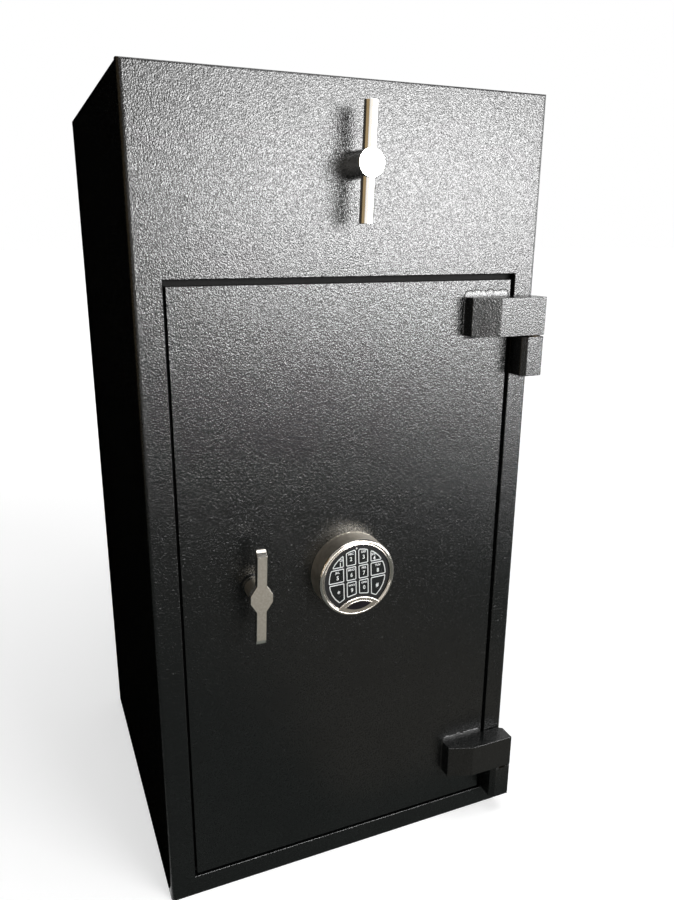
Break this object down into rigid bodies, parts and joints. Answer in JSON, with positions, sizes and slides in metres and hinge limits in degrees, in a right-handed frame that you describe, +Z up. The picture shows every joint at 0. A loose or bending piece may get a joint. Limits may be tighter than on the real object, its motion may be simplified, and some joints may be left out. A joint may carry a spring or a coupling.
{
  "type": "rotary hopper deposit safe",
  "caption": "Upright steel cabinet with a rotary drum hopper under its top, turned by a T-handle, above a hinged door with lever-thrown bolts and a round keypad lock.",
  "frame": {"origin": "centre of the cabinet's footprint, on the floor", "axes": "+X to the right seen from the front, +Y to the back, +Z up; the door faces -Y"},
  "size_m": [0.45, 0.478, 0.9],
  "materials": {
    "powder_coat": "black powder coat with a fine orange-peel texture",
    "polished_handle": "polished chrome plate",
    "satin_nickel": "satin nickel plate",
    "keypad_chrome": "bright chrome plate on a casting",
    "keypad_plastic": "matt black moulded plastic",
    "key_plastic": "satin black moulded plastic with light figures",
    "badge_plastic": "gloss black insert, blank",
    "led_lens": "tinted moulded lens",
    "zinc_plate": "bright zinc plate",
    "ground_steel": "turned and ground bare steel, oiled",
    "hardened_steel": "heat-treated dark steel plate",
    "cast_zinc": "as-cast light metal",
    "bearing_bronze": "turned bronze"
  },
  "bodies": {
    "cabinet": {"front_frame": "powder_coat", "left_side_panel": "powder_coat", "right_side_panel": "powder_coat", "back_panel": "powder_coat", "floor_plate": "powder_coat", "top_plate": "powder_coat", "hopper_cheek_left": "powder_coat", "hopper_cheek_right": "powder_coat", "rear_bearing_plate": "powder_coat", "drum_bushes": "bearing_bronze", "drum_stops": "ground_steel", "divider_deck": "powder_coat", "anti_fish_combs": "ground_steel", "deflector_baffle": "powder_coat", "door_stops": "powder_coat", "hinge_block_upper": "powder_coat", "hinge_block_lower": "powder_coat", "hinge_pins": "ground_steel", "thrust_washers": "bearing_bronze"},
    "hopper_drum": {"drum_shell": "zinc_plate", "drum_end_front": "zinc_plate", "drum_end_rear": "zinc_plate", "drum_spindle": "ground_steel", "handle_hub": "polished_handle", "handle_bar": "polished_handle"},
    "door": {"door_leaf": "powder_coat", "hinge_arm_upper": "powder_coat", "hinge_arm_lower": "powder_coat", "bolt_box": "powder_coat", "bolt_box_cover": "powder_coat", "cover_screws": "zinc_plate", "hinge_side_dogs": "zinc_plate", "hard_plate": "hardened_steel", "lock_case": "cast_zinc", "carriage_studs": "ground_steel", "lever_rose": "powder_coat", "keypad_base": "keypad_plastic", "keypad_housing": "keypad_chrome", "keypad_face": "keypad_plastic", "keypad_badge": "badge_plastic", "keypad_led": "led_lens"},
    "lever": {"lever_handle": "satin_nickel", "lever_spindle": "ground_steel", "lever_cam": "ground_steel"},
    "bolt_carriage": {"carriage_plate": "zinc_plate", "locking_bolts": "ground_steel"},
    "lock_bolt": {"lock_bolt": "bearing_bronze"},
    "key_1": {"key_1": "key_plastic"},
    "key_2": {"key_2": "key_plastic"},
    "key_3": {"key_3": "key_plastic"},
    "key_4": {"key_4": "key_plastic"},
    "key_5": {"key_5": "key_plastic"},
    "key_6": {"key_6": "key_plastic"},
    "key_7": {"key_7": "key_plastic"},
    "key_8": {"key_8": "key_plastic"},
    "key_star": {"key_star": "key_plastic"},
    "key_9": {"key_9": "key_plastic"},
    "key_0": {"key_0": "key_plastic"},
    "key_hash": {"key_hash": "key_plastic"}
  },
  "joints": [
    {"name": "hopper_turn", "type": "hinge", "parent": "cabinet", "child": "hopper_drum", "pos_m": [0, -0.22, 0.8205], "axis": [0, -1, 0], "range_deg": [0, 180]},
    {"name": "door_swing", "type": "hinge", "parent": "cabinet", "child": "door", "pos_m": [0.2135, -0.2365, 0], "axis": [0, 0, 1], "range_deg": [0, 180]},
    {"name": "lever_turn", "type": "hinge", "parent": "door", "child": "lever", "pos_m": [-0.1173, -0.22, 0.38685], "axis": [0, -1, 0], "range_deg": [0, 90]},
    {"name": "carriage_slide", "type": "slide", "parent": "door", "child": "bolt_carriage", "axis": [-1, 0, 0], "range_m": [0, 0.025]},
    {"name": "lock_bolt_slide", "type": "slide", "parent": "door", "child": "lock_bolt", "axis": [0, 0, -1], "range_m": [0, 0.009]},
    {"name": "key_1_press", "type": "slide", "parent": "door", "child": "key_1", "axis": [0, 1, 0], "range_m": [0, 0.0008], "stiffness_N_per_m": 1200},
    {"name": "key_2_press", "type": "slide", "parent": "door", "child": "key_2", "axis": [0, 1, 0], "range_m": [0, 0.0008], "stiffness_N_per_m": 1200},
    {"name": "key_3_press", "type": "slide", "parent": "door", "child": "key_3", "axis": [0, 1, 0], "range_m": [0, 0.0008], "stiffness_N_per_m": 1200},
    {"name": "key_4_press", "type": "slide", "parent": "door", "child": "key_4", "axis": [0, 1, 0], "range_m": [0, 0.0008], "stiffness_N_per_m": 1200},
    {"name": "key_5_press", "type": "slide", "parent": "door", "child": "key_5", "axis": [0, 1, 0], "range_m": [0, 0.0008], "stiffness_N_per_m": 1200},
    {"name": "key_6_press", "type": "slide", "parent": "door", "child": "key_6", "axis": [0, 1, 0], "range_m": [0, 0.0008], "stiffness_N_per_m": 1200},
    {"name": "key_7_press", "type": "slide", "parent": "door", "child": "key_7", "axis": [0, 1, 0], "range_m": [0, 0.0008], "stiffness_N_per_m": 1200},
    {"name": "key_8_press", "type": "slide", "parent": "door", "child": "key_8", "axis": [0, 1, 0], "range_m": [0, 0.0008], "stiffness_N_per_m": 1200},
    {"name": "key_star_press", "type": "slide", "parent": "door", "child": "key_star", "axis": [0, 1, 0], "range_m": [0, 0.0008], "stiffness_N_per_m": 1200},
    {"name": "key_9_press", "type": "slide", "parent": "door", "child": "key_9", "axis": [0, 1, 0], "range_m": [0, 0.0008], "stiffness_N_per_m": 1200},
    {"name": "key_0_press", "type": "slide", "parent": "door", "child": "key_0", "axis": [0, 1, 0], "range_m": [0, 0.0008], "stiffness_N_per_m": 1200},
    {"name": "key_hash_press", "type": "slide", "parent": "door", "child": "key_hash", "axis": [0, 1, 0], "range_m": [0, 0.0008], "stiffness_N_per_m": 1200}
  ],
  "couplings": [
    {"joint": "lever_turn", "follows": "carriage_slide", "rad_per_m": 62.83},
    {"joint": "lock_bolt_slide", "follows": "carriage_slide", "ratio": 0.3599}
  ]
}
